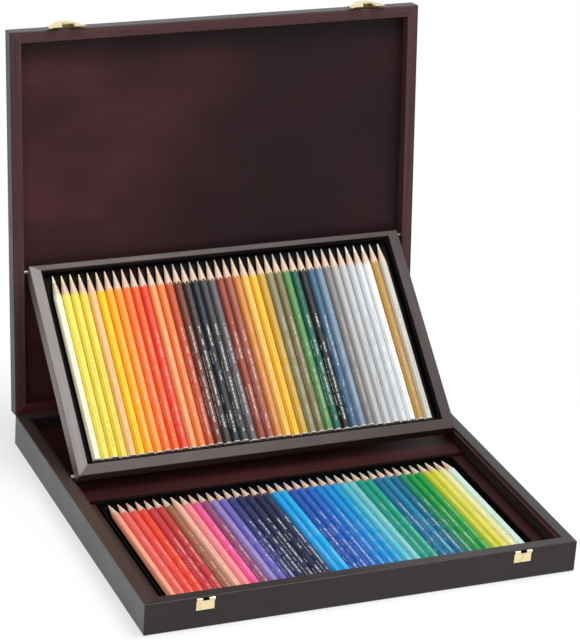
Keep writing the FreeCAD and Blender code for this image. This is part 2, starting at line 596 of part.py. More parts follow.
def latches():
    """Plates, pins, screws and levers on the lid's front, as they lie when shut, with a lever at rest."""
    parts = {"plates": [], "pins": [], "screws": [], "levers": []}
    plate = latch_plate()
    lever = turned(latch_lever(), PIVOT_Y, PIVOT_Z, -LEVER_REST_ANGLE)
    pin_half = LATCH_BARREL_WIDTH / 2 + LATCH_SIDE_GAP + LATCH_EAR_WIDTH
    pin = rod_x(LATCH_PIN_RADIUS, -pin_half, pin_half, PIVOT_Y, PIVOT_Z)
    blank = screw_blank(SCREW_HEAD_RADIUS, SCREW_SHANK_RADIUS, BRASS_SHEET, LATCH_SCREW_LENGTH)
    screw = slotted(blank, SCREW_HEAD_RADIUS, BRASS_SHEET)
    blanks = []
    for side in SIDES:
        x = side * LATCH_X
        own = []
        for screw_side in SIDES:
            place = (x + screw_side * LATCH_SCREW_X, FRONT_Y - BRASS_SHEET, PIVOT_Z)
            own.append(moved(turned(blank, 0, 0, 90), *place))
            parts["screws"].append(moved(turned(screw, 0, 0, 90), *place))
        parts["plates"].append(moved(plate, x, 0, 0).cut(own))
        parts["pins"].append(moved(pin, x, 0, 0))
        parts["levers"].append(moved(lever, x, 0, 0))
        blanks += own
    return parts, blanks


def catches():
    """The catches on the base's front, their pins, and the pockets in the wood behind their notches.

    Each catch has a rolled upper edge either side of its notch, and its pins lie flush.
    """
    half = CATCH_WIDTH / 2
    notch = CATCH_NOTCH / 2
    low = CATCH_TOP - CATCH_HEIGHT
    roll_z = CATCH_TOP - CATCH_ROLL_RADIUS
    plate = box(-half, half, FRONT_Y - BRASS_SHEET, FRONT_Y, low, roll_z)
    notch_z = CATCH_TOP - CATCH_NOTCH_DEPTH
    plate = plate.cut(box(-notch, notch, FRONT_Y - PAST, FRONT_Y + PAST, notch_z, CATCH_TOP + PAST))
    for side in SIDES:
        x0 = min(side * notch, side * half)
        roll = rod_x(CATCH_ROLL_RADIUS, x0, x0 + half - notch, FRONT_Y - CATCH_ROLL_RADIUS, roll_z)
        plate = plate.fuse(roll)
    plate = plate.removeSplitter()
    pin_start = FreeCAD.Vector(0, 0, 0)
    pin = Part.makeCylinder(CATCH_PIN_RADIUS, CATCH_PIN_LENGTH, pin_start, FreeCAD.Vector(0, 1, 0))
    plates = []
    pins = []
    pockets = []
    for side in SIDES:
        x = side * LATCH_X
        own = [moved(pin, x + pin_side * CATCH_PIN_X, FRONT_Y - BRASS_SHEET, low + CATCH_PIN_RISE)
               for pin_side in SIDES]
        plates.append(moved(plate, x, 0, 0).cut(own))
        pins += own
        pockets.append(box(x - notch, x + notch, FRONT_Y - PAST, FRONT_Y + CATCH_POCKET_DEPTH,
                           notch_z - BRASS_SHEET, notch_z - BRASS_SHEET + CATCH_POCKET_HEIGHT))
    return plates, pins, pockets


def build():
    """Every node of the case, in its open place."""
    nodes = {}
    base = base_box()
    lid = lid_box()
    hinge_parts, hinge_tools = hinges()
    latch_parts, latch_blanks = latches()
    catch_plates, catch_pins, catch_pockets = catches()
    base["base_back_wall"] = base["base_back_wall"].cut(hinge_tools["base"])
    base["base_front_wall"] = base["base_front_wall"].cut(catch_pins + catch_pockets)
    lid["lid_back_rail"] = lid["lid_back_rail"].cut(hinge_tools["lid"])
    lid["lid_front_rail"] = lid["lid_front_rail"].cut(latch_blanks)
    nodes.update(base)
    nodes.update(base_fittings())
    nodes["hinge_base_leaves"] = Part.makeCompound(hinge_parts["base_leaves"])
    nodes["hinge_base_screws"] = Part.makeCompound(hinge_parts["base_screws"])
    nodes["hinge_pins"] = Part.makeCompound(hinge_parts["pins"])
    nodes["catches"] = Part.makeCompound(catch_plates)
    nodes["catch_pins"] = Part.makeCompound(catch_pins)
    pencil_y = -INNER_Y + TIN_FIT + TIN_BLUNT_MARGIN
    nodes.update(pencil_row("lower", LOWER_FAMILIES, pencil_y, LOWER_TIN_Z + TIN_FLOOR, Part.Shape.copy))
    for name, shape in lid.items():
        nodes[name] = opened(shape)
    nodes["hinge_lid_leaves"] = opened(Part.makeCompound(hinge_parts["lid_leaves"]))
    nodes["hinge_lid_screws"] = opened(Part.makeCompound(hinge_parts["lid_screws"]))
    nodes["latch_plates"] = opened(Part.makeCompound(latch_parts["plates"]))
    nodes["latch_pins"] = opened(Part.makeCompound(latch_parts["pins"]))
    nodes["latch_screws"] = opened(Part.makeCompound(latch_parts["screws"]))
    left_lever, right_lever = latch_parts["levers"]
    nodes["left_latch_lever"] = opened(left_lever)
    nodes["right_latch_lever"] = opened(right_lever)
    for name, shape in tray_box().items():
        nodes[name] = tilted(shape)
    pencil_y = TRAY_BOTTOM_RAIL + TIN_FIT + TIN_BLUNT_MARGIN
    nodes.update(pencil_row("upper", UPPER_FAMILIES, pencil_y, TRAY_PANEL + TIN_FLOOR, tilted))
    return nodes


def export(nodes):
    """Write each node to its own file."""
    os.makedirs("parts", exist_ok=True)
    for name, shape in nodes.items():
        shape.exportStep("parts/" + name + ".step")


export(build())
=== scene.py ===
"""Looks of a two-tier wooden pencil case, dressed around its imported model."""
import json
import logging
import math
from dataclasses import dataclass, field
from enum import Enum

import bpy
import numpy as np
from mathutils import Matrix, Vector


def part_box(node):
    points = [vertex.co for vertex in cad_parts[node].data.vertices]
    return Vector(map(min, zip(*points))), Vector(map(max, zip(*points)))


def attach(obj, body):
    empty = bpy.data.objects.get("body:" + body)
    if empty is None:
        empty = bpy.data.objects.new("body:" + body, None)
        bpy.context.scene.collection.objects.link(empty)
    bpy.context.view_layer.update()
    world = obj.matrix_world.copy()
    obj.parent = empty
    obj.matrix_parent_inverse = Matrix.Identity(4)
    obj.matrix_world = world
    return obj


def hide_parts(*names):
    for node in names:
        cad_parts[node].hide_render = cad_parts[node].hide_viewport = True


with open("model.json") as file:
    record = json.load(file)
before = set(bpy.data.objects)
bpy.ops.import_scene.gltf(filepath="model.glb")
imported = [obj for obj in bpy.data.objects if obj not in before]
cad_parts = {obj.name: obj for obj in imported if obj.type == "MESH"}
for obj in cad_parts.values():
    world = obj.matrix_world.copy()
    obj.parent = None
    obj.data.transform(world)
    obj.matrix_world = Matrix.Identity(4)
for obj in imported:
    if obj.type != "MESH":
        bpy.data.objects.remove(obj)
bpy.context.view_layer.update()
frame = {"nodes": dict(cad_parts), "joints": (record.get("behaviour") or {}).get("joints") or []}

MM = 0.001
# Planes where a tone changes: the base's rim, and in the shut lid's axes its outer faces, its panel's front
# end and how far the painted shadow reaches from there. Then the places along X between which a painted shade
# grows, standing in for the light that falls off towards +X.
RIM_HEIGHT = 27.4 * MM
LID_HALF = (189.3 * MM, 171.3 * MM)
LID_OUTER = 41.7 * MM
PANEL_FRONT = -160.0 * MM
SHADE_REACH = 30.0 * MM
FADE_FROM, FADE_TO = -190.0 * MM, 120.0 * MM
SHELL_DARK, SHELL_LIGHT, SHELL_COAT = "#1a1213", "#281e20", 0.3
SHADE_TONE, PORE_TONE = "#150e0f", "#120c0c"
# The y and z of the tray's pivot in the tray's flat axes.
TRAY_PIVOT_FLAT = (197.0 * MM, 7.5 * MM)
# Where the upper tin starts in the tray's flat axes, and pencils inside a tin: y and z in millimetres.
UPPER_TIN_START = (10.5, 4.0)
PENCIL_START = (3.0, 0.5)
# The runs of dashes on a pencil: middle and half height in turns round it, start and end as shares of its
# length; and how fast the dashes change across a row, per metre.
DASH_RUNS = ((0.25, 0.034, 0.05, 0.64), (0.415, 0.020, 0.08, 0.50), (0.085, 0.026, 0.10, 0.60))
DASH_CHANGE = 90.0
FLOOR_LINES = 25
LOG = logging.getLogger("pencil_case")
Socket, Sockets = bpy.types.NodeSocket, bpy.types.bpy_prop_collection
Material, Object = bpy.types.Material, bpy.types.Object


# ---- colours
def linear(code: str) -> tuple[float, float, float, float]:
    """Turn a screen colour such as "#808080" into linear light.

    Args:
        code: A hash sign and six hexadecimal digits.

    Returns:
        Red, green, blue and an alpha of 1.
    """
    channels = np.array([int(code[start:start + 2], 16) / 255 for start in (1, 3, 5)])
    bent = np.where(channels <= 0.04045, channels / 12.92, ((channels + 0.055) / 1.055) ** 2.4)
    return (float(bent[0]), float(bent[1]), float(bent[2]), 1.0)


# ---- places
@dataclass(frozen=True)
class Tilt:
    """A turn about a line along X, which takes flat axes to their open place."""

    turn: float
    pivot: tuple[float, float]
    flat_pivot: tuple[float, float]

    def place(self, points: np.ndarray) -> np.ndarray:
        """Carry points from flat axes to the case's frame, both in metres.

        Args:
            points: An array whose last axis is x, y, z.

        Returns:
            The turned points, in the same shape.
        """
        cosine, sine = math.cos(self.turn), math.sin(self.turn)
        y = points[..., 1] - self.flat_pivot[0]
        z = points[..., 2] - self.flat_pivot[1]
        turned_y = self.pivot[0] + cosine * y - sine * z
        turned_z = self.pivot[1] + sine * y + cosine * z
        return np.stack([points[..., 0], turned_y, turned_z], axis=-1)


def joint(name: str) -> dict:
    """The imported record's joint of that name."""
    return next(entry for entry in frame["joints"] if entry["name"] == name)


def lid_tilt() -> Tilt:
    """The lid's turn from its shut place to its open place.

    Returns:
        The turn, about the hinge.
    """
    hinge = joint("lid_hinge")
    pivot = (hinge["pos_m"][1], hinge["pos_m"][2])
    return Tilt(-math.radians(hinge["range_deg"][1]), pivot, pivot)


def tray_tilt() -> Tilt:
    """The upper tray's turn from its own flat axes, whose origin is its lower end's back edge.

    Returns:
        The turn, about the tray's pivot.
    """
    pivot = joint("tray_pivot")
    open_angle = -pivot["range_deg"][0] - joint("lid_hinge")["range_deg"][1]
    return Tilt(math.radians(open_angle), (pivot["pos_m"][1], pivot["pos_m"][2]), TRAY_PIVOT_FLAT)


LEVEL = Tilt(0.0, (0.0, 0.0), (0.0, 0.0))


def untilted(tilt: Tilt, flat: tuple[float, float, float]) -> list[float]:
    """Where a flat point lands once it is placed and its body's turn about the origin is undone.

    Args:
        tilt: The body's turn.
        flat: The point in flat axes, in metres.

    Returns:
        The point in the axes that the wood materials use.
    """
    return Tilt(-tilt.turn, (0.0, 0.0), (0.0, 0.0)).place(tilt.place(np.array(flat))).tolist()


# ---- meshes
def grid_quads(rows: int, columns: int, wrap: bool) -> np.ndarray:
    """Quads between neighbouring rows and columns of a grid of points.

    Args:
        rows: How many rows of points.
        columns: How many points in a row.
        wrap: Whether the last column joins the first.

    Returns:
        An array of point indices, four to a face.
    """
    spans = columns if wrap else columns - 1
    row, column = np.meshgrid(np.arange(rows - 1), np.arange(spans), indexing="ij")
    following = (column + 1) % columns
    quads = [row * columns + column, row * columns + following,
             (row + 1) * columns + following, (row + 1) * columns + column]
    return np.stack(quads, axis=-1).reshape(-1, 4)


def fan(start: int, count: int, hub: int) -> np.ndarray:
    """Triangles between a ring of points and one hub point.

    Args:
        start: The index of the ring's first point.
        count: How many points the ring has.
        hub: The hub's index.

    Returns:
        An array of point indices, three to a face.
    """
    index = np.arange(count)
    return np.stack([start + index, start + (index + 1) % count, np.full(count, hub)], axis=-1)


def mesh_object(name: str, points: np.ndarray, faces: list[np.ndarray], smooth_angle: float = 40.0) -> Object:
    """Make an object from points and faces, smooth except along edges sharper than an angle.

    Args:
        name: The object's name.
        points: Points in metres, three numbers each.
        faces: Arrays of point indices, with as many columns as their faces have corners.
        smooth_angle: Degrees past which an edge stays sharp.

    Returns:
        The new object, linked to the scene.
    """
    mesh = bpy.data.meshes.new(name)
    polygons = [face for block in faces for face in block.tolist()]
    mesh.from_pydata(points.reshape(-1, 3).tolist(), [], polygons)
    mesh.update()
    mesh.shade_smooth()
    mesh.set_sharp_from_angle(angle=math.radians(smooth_angle))
    obj = bpy.data.objects.new(name, mesh)
    bpy.context.scene.collection.objects.link(obj)
    return obj


def paint_faces(obj: Object, colours: np.ndarray) -> None:
    """Store one colour per face corner as the attribute paint, given one colour per face.

    Args:
        obj: The object whose mesh gets the attribute.
        colours: Linear colours with alpha, one row per face.
    """
    mesh = obj.data
    counts = np.zeros(len(mesh.polygons), np.int32)
    mesh.polygons.foreach_get("loop_total", counts)
    layer = mesh.attributes.new("paint", "FLOAT_COLOR", "CORNER")
    layer.data.foreach_set("color", np.repeat(colours, counts, axis=0).astype(np.float32).ravel())


# ---- materials
class Graph:
    """A small helper that adds and links the nodes of one material or group."""

    def __init__(self, tree: bpy.types.NodeTree) -> None:
        """Hold the node tree."""
        self.tree = tree

    def add(self, kind: str, links: dict | None = None, **settings: object) -> bpy.types.Node:
        """Add a node.

        Args:
            kind: The node's type name.
            links: Input name or index to an output socket, a constant or a colour's code.
            **settings: Properties set on the node itself.

        Returns:
            The node.
        """
        node = self.tree.nodes.new(kind)
        for key, value in settings.items():
            setattr(node, key, value)
        self.feed(node, links or {})
        return node

    def feed(self, node: bpy.types.Node, links: dict) -> None:
        """Link sockets to a node's inputs, or set the inputs to constants or colours.

        Args:
            node: The node that is fed.
            links: Input name or index to an output socket, a constant or a colour's code.
        """
        for key, value in links.items():
            if isinstance(value, Socket):
                self.tree.links.new(value, node.inputs[key])
            else:
                node.inputs[key].default_value = linear(value) if isinstance(value, str) else value

    def math(self, operation: str, first: object, second: object = 0.0) -> Socket:
        """Combine one or two numbers and return the result's socket."""
        return self.add("ShaderNodeMath", {0: first, 1: second}, operation=operation).outputs[0]

    def mix(self, factor: object, first: object, second: object) -> Socket:
        """Mix two colours and return the result's socket."""
        return self.add("ShaderNodeMix", {"Factor": factor, 6: first, 7: second}, data_type="RGBA").outputs[2]

    def span(self, value: object, low: float, high: float, to_low: float = 0.0, to_high: float = 1.0,
             smooth: bool = False) -> Socket:
        """Map a number from one range to another, clamped.

        Args:
            value: The number's socket.
            low: Where the first range starts.
            high: Where it ends.
            to_low: What its start becomes.
            to_high: What its end becomes.
            smooth: Whether the change eases in and out.

        Returns:
            The result's socket.
        """
        kind = "SMOOTHSTEP" if smooth else "LINEAR"
        node = self.add("ShaderNodeMapRange", {"Value": value, "From Min": low, "From Max": high,
                                               "To Min": to_low, "To Max": to_high}, interpolation_type=kind)
        return node.outputs[0]

    def noise(self, vector: object, scale: float, detail: float = 3.0, rough: float = 0.5) -> Socket:
        """Add fractal noise and return its value's socket."""
        links = {"Vector": vector, "Scale": scale, "Detail": detail, "Roughness": rough}
        return self.add("ShaderNodeTexNoise", links).outputs[0]

    def stretched(self, vector: object, scale: tuple[float, float, float]) -> Socket:
        """Scale a vector along its axes and return the result's socket."""
        return self.add("ShaderNodeMapping", {"Vector": vector, "Scale": scale}).outputs[0]

    def turned(self, vector: object, rotation: tuple[float, float, float]) -> Socket:
        """Turn a vector by angles in radians and return the result's socket."""
        return self.add("ShaderNodeMapping", {"Vector": vector, "Rotation": rotation}).outputs[0]

    def position(self) -> Socket:
        """The socket of the object's own coordinates."""
        return self.add("ShaderNodeTexCoord").outputs["Object"]

    def axes(self, vector: object) -> Sockets:
        """The sockets of a vector's x, y and z."""
        return self.add("ShaderNodeSeparateXYZ", {"Vector": vector}).outputs

    def grouped(self, name: str, vector: object) -> Sockets:
        """Add a shared group fed with a vector and return its output sockets."""
        return self.add("ShaderNodeGroup", {"Vector": vector}, node_tree=bpy.data.node_groups[name]).outputs

    def bump(self, height: object, strength: float, distance: float) -> Socket:
        """Turn a height into a normal, with the distance in metres, and return its socket."""
        links = {"Height": height, "Strength": strength, "Distance": distance}
        return self.add("ShaderNodeBump", links).outputs[0]

    def plain_rays(self) -> Socket:
        """Mark the camera, glossy and transmission rays, which see the surround as white.

        Returns:
            The mask's socket, 0 or 1.
        """
        path = self.add("ShaderNodeLightPath").outputs
        bounced = self.math("MAXIMUM", path["Is Glossy Ray"], path["Is Transmission Ray"])
        return self.math("MAXIMUM", path["Is Camera Ray"], bounced)


def new_material(name: str) -> tuple[Material, Graph, bpy.types.Node]:
    """Make an empty node material.

    Args:
        name: The material's name.

    Returns:
        The material, its graph helper and its Principled shader.
    """
    material = bpy.data.materials.new(name)
    material.use_nodes = True
    graph = Graph(material.node_tree)
    return material, graph, material.node_tree.nodes["Principled BSDF"]


def new_group(name: str, outputs: tuple[str, ...]) -> tuple[Graph, Socket, bpy.types.Node]:
    """Make a shader node group that turns a vector into named numbers.

    Args:
        name: The group's name.
        outputs: The names of its outputs.

    Returns:
        The graph helper, the vector's socket and the group's output node.
    """
    tree = bpy.data.node_groups.new(name, "ShaderNodeTree")
    tree.interface.new_socket("Vector", in_out="INPUT", socket_type="NodeSocketVector")
    for label in outputs:
        tree.interface.new_socket(label, in_out="OUTPUT", socket_type="NodeSocketFloat")
    graph = Graph(tree)
    return graph, graph.add("NodeGroupInput").outputs["Vector"], graph.add("NodeGroupOutput")


def grain_group() -> bpy.types.NodeTree:
    """Build the shared wood grain: streaks along X, slow clouds, and short dark pores.

    Returns:
        The group, with outputs Streak, Cloud, Pore and Height.
    """
    graph, vector, end = new_group("wood_grain", ("Streak", "Cloud", "Pore", "Height"))
    bend = graph.noise(vector, 4.0, 2.0)
    shift = graph.add("ShaderNodeCombineXYZ", {"Y": graph.math("MULTIPLY", bend, 0.012)}).outputs[0]
    waved = graph.add("ShaderNodeVectorMath", {0: vector, 1: shift}, operation="ADD").outputs[0]
    broad = graph.noise(graph.stretched(waved, (4, 120, 120)), 1.0, 4.0, 0.6)
    fine = graph.noise(graph.stretched(waved, (16, 850, 850)), 1.0, 3.0, 0.6)
    streak = graph.math("ADD", graph.math("MULTIPLY", broad, 0.5), graph.math("MULTIPLY", fine, 0.5))
    cloud = graph.noise(graph.stretched(vector, (6, 9, 9)), 1.0, 3.0, 0.55)
    specks = graph.noise(graph.stretched(vector, (120, 1900, 1900)), 1.0, 2.0, 0.6)
    pore = graph.span(specks, 0.64, 0.74, smooth=True)
    height = graph.math("SUBTRACT", graph.math("MULTIPLY", fine, 0.5), pore)
    graph.feed(end, {"Streak": streak, "Cloud": cloud, "Pore": pore, "Height": height})
    return graph.tree


def handling_group() -> bpy.types.NodeTree:
    """Build the shared signs of handling: faint smears that change the gloss.

    Returns:
        The group, with the output Smear.
    """
    graph, vector, end = new_group("handling", ("Smear",))
    graph.feed(end, {"Smear": graph.span(graph.noise(vector, 26.0, 4.0, 0.65), 0.35, 0.7)})
    return graph.tree


class Grain(Enum):
    """Which way the grain runs, as the turn that brings it to the pattern's X axis."""

    ALONG_X = 0.0
    ALONG_Y = 90.0


@dataclass(frozen=True)
class WoodFinish:
    """A wood under stain and lacquer.

    dark and light are the tones of its streaks, and cloud that of its broad clouds. shade_and_rim_tone is a
    darker tone: a painted shade that grows towards +X by the share painted_side_shade, standing in for the
    light that falls off across the case, and a band above the base's rim by the share rim. shell says that
    the lid's outer faces take the case's black, and front_shade is the share of painted shadow at the panel's
    front end, where its rail shades it.
    """

    name: str
    dark: str
    light: str
    cloud: str
    rough: float = 0.42
    specular: float = 0.25
    coat: float = 0.15
    sheen: float = 0.0
    # The tone of the painted shade towards +X and of the rim band, then the share of that painted shade.
    shade_and_rim_tone: str = "#1c1011"
    painted_side_shade: float = 0.0
    rim: float = 0.0
    shell: bool = False
    front_shade: float = 0.0

    def material(self, grain: Grain, tilt: Tilt) -> Material:
        """Build the material for wood whose grain runs along X, or along a tilted Y.

        Args:
            grain: The grain's direction before the tilt.
            tilt: The turn of the body that the wood belongs to.

        Returns:
            The material.
        """
        label = f"{self.name}_{grain.name.lower()}_{round(math.degrees(tilt.turn))}"
        if label in bpy.data.materials:
            return bpy.data.materials[label]
        material, graph, shader = new_material(label)
        place = graph.position()
        level = graph.turned(place, (-tilt.turn, 0, 0))
        wood = graph.grouped("wood_grain", graph.turned(level, (0, 0, math.radians(grain.value))))
        care = graph.grouped("handling", place)
        tone = graph.span(wood["Streak"], 0.34, 0.68)
        streaked = graph.mix(tone, self.dark, self.light)
        in_cloud = graph.span(wood["Cloud"], 0.35, 0.65, 0.0, 0.75, True)
        clouded = graph.mix(in_cloud, streaked, self.cloud)
        # The stain, with the painted shade towards +X and the rim band mixed in.
        stain_and_shade = graph.mix(self._shade_and_rim_mask(graph, place), clouded, self.shade_and_rim_tone)
        # Painted shadow: the panel darkens towards its front end, the top when the lid is open, where its
        # rail shades it.
        if self.front_shade:
            front = untilted(tilt, (0.0, PANEL_FRONT, 0.0))[1]
            near = graph.span(graph.axes(level)[1], front, front + SHADE_REACH, self.front_shade, 0.0, True)
            stain_and_shade = graph.mix(near, stain_and_shade, SHADE_TONE)
        colour = graph.mix(graph.math("MULTIPLY", wood["Pore"], 0.4), stain_and_shade, PORE_TONE)
        coat = self.coat
        if self.shell:
            outer = self._shell_mask(graph, level, tilt)
            colour = graph.mix(outer, colour, graph.mix(tone, SHELL_DARK, SHELL_LIGHT))
            coat = graph.span(outer, 0.0, 1.0, self.coat, SHELL_COAT)
        smeared = graph.math("ADD", self.rough, graph.math("MULTIPLY", care["Smear"], 0.10))
        graph.feed(shader, {
            "Base Color": colour,
            "Roughness": graph.math("ADD", smeared, graph.math("MULTIPLY", wood["Pore"], 0.15)),
            "Normal": graph.bump(wood["Height"], 0.2, 0.0001),
            "Specular IOR Level": self.specular,
            "Coat Weight": coat,
            "Coat Roughness": 0.3,
            "Sheen Weight": self.sheen,
            "Sheen Roughness": 0.4,
        })
        return material

    def _shade_and_rim_mask(self, graph: Graph, place: Socket) -> Socket:
        """Say how far the wood takes its darker tone: a painted shade towards +X, and the band above the
        base's rim.

        Args:
            graph: The material's graph.
            place: The object's own coordinates.

        Returns:
            The mask's socket, from 0 to 1.
        """
        axes = graph.axes(place)
        uneven = graph.span(graph.noise(place, 7.0, 2.0), 0.3, 0.7, -0.05, 0.05)
        # Painted shade: darker towards +X, standing in for light from the left that falls off across the
        # case.
        side = graph.span(graph.math("ADD", axes[0], uneven), FADE_FROM, FADE_TO, 0.0, self.painted_side_shade, True)
        on_rim = graph.math("MULTIPLY", graph.math("GREATER_THAN", axes[2], RIM_HEIGHT), self.rim)
        return graph.math("MAXIMUM", side, on_rim)

    def _shell_mask(self, graph: Graph, level: Socket, tilt: Tilt) -> Socket:
        """Mark the lid's outer faces, which lie past the planes just inside its box.

        Args:
            graph: The material's graph.
            level: The vector with the lid's turn undone.
            tilt: The lid's turn.

        Returns:
            The mask's socket, 0 inside and 1 on the outer faces.
        """
        axes = graph.axes(level)
        front = untilted(tilt, (0.0, -LID_HALF[1], 0.0))[1]
        back = untilted(tilt, (0.0, LID_HALF[1], 0.0))[1]
        top = untilted(tilt, (0.0, 0.0, LID_OUTER))[2]
        outer = graph.math("GREATER_THAN", graph.math("ABSOLUTE", axes[0]), LID_HALF[0])
        for operation, axis, limit in (("LESS_THAN", 1, front), ("GREATER_THAN", 1, back),
                                       ("GREATER_THAN", 2, top)):
            outer = graph.math("MAXIMUM", outer, graph.math(operation, axes[axis], limit))
        return outer


@dataclass(frozen=True)
class MetalFinish:
    """A worn bare or lacquered metal."""

    name: str
    colour: str
    metallic: float
    rough: float
    tarnish: str
    brushed: float = 0.0
    specular: float = 0.5

    def material(self) -> Material:
        """Build the material, with tarnish in clouds and fine rubbing marks along X.

        Returns:
            The material.
        """
        material, graph, shader = new_material(self.name)
        place = graph.position()
        cloud = graph.span(graph.noise(place, 140.0, 4.0, 0.6), 0.45, 0.8)
        marks = graph.noise(graph.stretched(place, (60, 2600, 2600)), 1.0, 2.0)
        smear = graph.math("MULTIPLY", graph.grouped("handling", place)["Smear"], 0.14)
        rubbed = graph.math("MULTIPLY", marks, self.brushed)
        tarnished = graph.math("MULTIPLY", cloud, 0.6)
        graph.feed(shader, {
            "Base Color": graph.mix(tarnished, self.colour, self.tarnish),
            "Roughness": graph.math("ADD", graph.math("ADD", self.rough, smear), rubbed),
            "Normal": graph.bump(marks, 0.12, 0.00005),
            "Metallic": self.metallic,
            "Specular IOR Level": self.specular,
        })
        return material


@dataclass(frozen=True)
class PaintedPencilFinish:
    """Satin paint on cedar, raw wood where it is sharpened, a pale dipped end and small foil marks."""

    name: str = "painted_pencil"
    raw_dark: str = "#c9a68f"
    raw_light: str = "#f0d9c2"
    dipped: str = "#e0d8cd"
    foil: str = "#dcd8d0"
    dark_print: str = "#453f30"

    def material(self) -> Material:
        """Build the material; it reads the piece's own paint and zone attributes and its UV map.

        Returns:
            The material.
        """
        material, graph, shader = new_material(self.name)
        place = graph.add("ShaderNodeTexCoord").outputs
        paint = graph.add("ShaderNodeAttribute", attribute_name="paint").outputs["Color"]
        zone = graph.add("ShaderNodeAttribute", attribute_name="zone").outputs["Fac"]
        flecks = graph.noise(place["Object"], 420.0, 3.0)
        shaded = graph.mix(graph.span(flecks, 0.3, 0.8, 0.0, 0.05), paint, "#ffffff")
        on_paint = graph.math("LESS_THAN", zone, 0.5)
        foil = graph.math("MULTIPLY", self._foil_mask(graph, place), on_paint)
        value = graph.add("ShaderNodeRGBToBW", {"Color": paint}).outputs[0]
        depth = graph.span(value, 0.02, 0.25, 0.85, 0.3)
        is_pale = graph.math("GREATER_THAN", value, 0.52)
        print_tone = graph.mix(is_pale, self.foil, self.dark_print)
        printed = graph.mix(graph.math("MULTIPLY", foil, depth), shaded, print_tone)
        fibre = graph.noise(graph.stretched(place["UV"], (60, 5, 1)), 1.0, 3.0)
        raw = graph.mix(graph.span(fibre, 0.3, 0.7), self.raw_dark, self.raw_light)
        past_paint, is_end = graph.math("GREATER_THAN", zone, 0.5), graph.math("GREATER_THAN", zone, 1.5)
        is_raw = graph.math("MULTIPLY", past_paint, graph.math("LESS_THAN", zone, 1.5))
        sharpened = graph.mix(is_raw, printed, raw)
        satin = graph.span(flecks, 0.3, 0.8, 0.34, 0.44)
        graph.feed(shader, {
            "Base Color": graph.mix(graph.math("MULTIPLY", is_end, 0.8), sharpened, self.dipped),
            "Roughness": graph.math("ADD", graph.math("MULTIPLY", is_raw, 0.30), satin),
            "Normal": graph.bump(fibre, 0.15, 0.0001),
            "Specular IOR Level": 0.15,
        })
        return material

    def _foil_mask(self, graph: Graph, place: Sockets) -> Socket:
        """Mark small unreadable dashes in a run along the upper flat and along the flats beside it.

        The pattern's third axis is the place across the row, so that no two pencils carry the same dashes.

        Args:
            graph: The material's graph.
            place: The texture coordinates, whose UV is the turns round the pencil and the share of its
                length from the blunt end.

        Returns:
            The mask's socket, 0 or 1.
        """
        uv = graph.axes(place["UV"])
        around, along = uv[0], uv[1]
        row = graph.math("MULTIPLY", graph.axes(place["Object"])[0], DASH_CHANGE)
        print_place = graph.add("ShaderNodeCombineXYZ", {"X": around, "Y": along, "Z": row}).outputs[0]
        blobs = graph.noise(graph.stretched(print_place, (40, 95, 1)), 1.0, 1.0, 0.4)
        gaps = graph.noise(graph.stretched(print_place, (0, 14, 1)), 1.0, 0.0)
        glyph, words = graph.math("GREATER_THAN", blobs, 0.48), graph.math("GREATER_THAN", gaps, 0.44)
        total = None
        for middle, half_height, low, high in DASH_RUNS:
            off_middle = graph.math("ABSOLUTE", graph.math("SUBTRACT", around, middle))
            near = graph.math("LESS_THAN", off_middle, half_height)
            past_low = graph.math("GREATER_THAN", along, low)
            run = graph.math("MULTIPLY", past_low, graph.math("LESS_THAN", along, high))
            part = graph.math("MULTIPLY", near, run)
            total = part if total is None else graph.math("MAXIMUM", total, part)
        return graph.math("MULTIPLY", graph.math("MULTIPLY", total, glyph), words)


@dataclass(frozen=True)
class LeadFinish:
    """A waxy coloured lead."""

    name: str = "coloured_lead"

    def material(self) -> Material:
        """Build the material, which reads the piece's own paint attribute.

        Returns:
            The material.
        """
        material, graph, shader = new_material(self.name)
        paint = graph.add("ShaderNodeAttribute", attribute_name="paint").outputs["Color"]
        grains = graph.noise(graph.position(), 1800.0, 2.0)
        graph.feed(shader, {
            "Base Color": graph.mix(graph.span(grains, 0.35, 0.75, 0.42, 0.56), paint, "#f6efe6"),
            "Roughness": graph.span(grains, 0.2, 0.8, 0.45, 0.65),
            "Normal": graph.bump(grains, 0.2, 0.00005),
        })
        return material


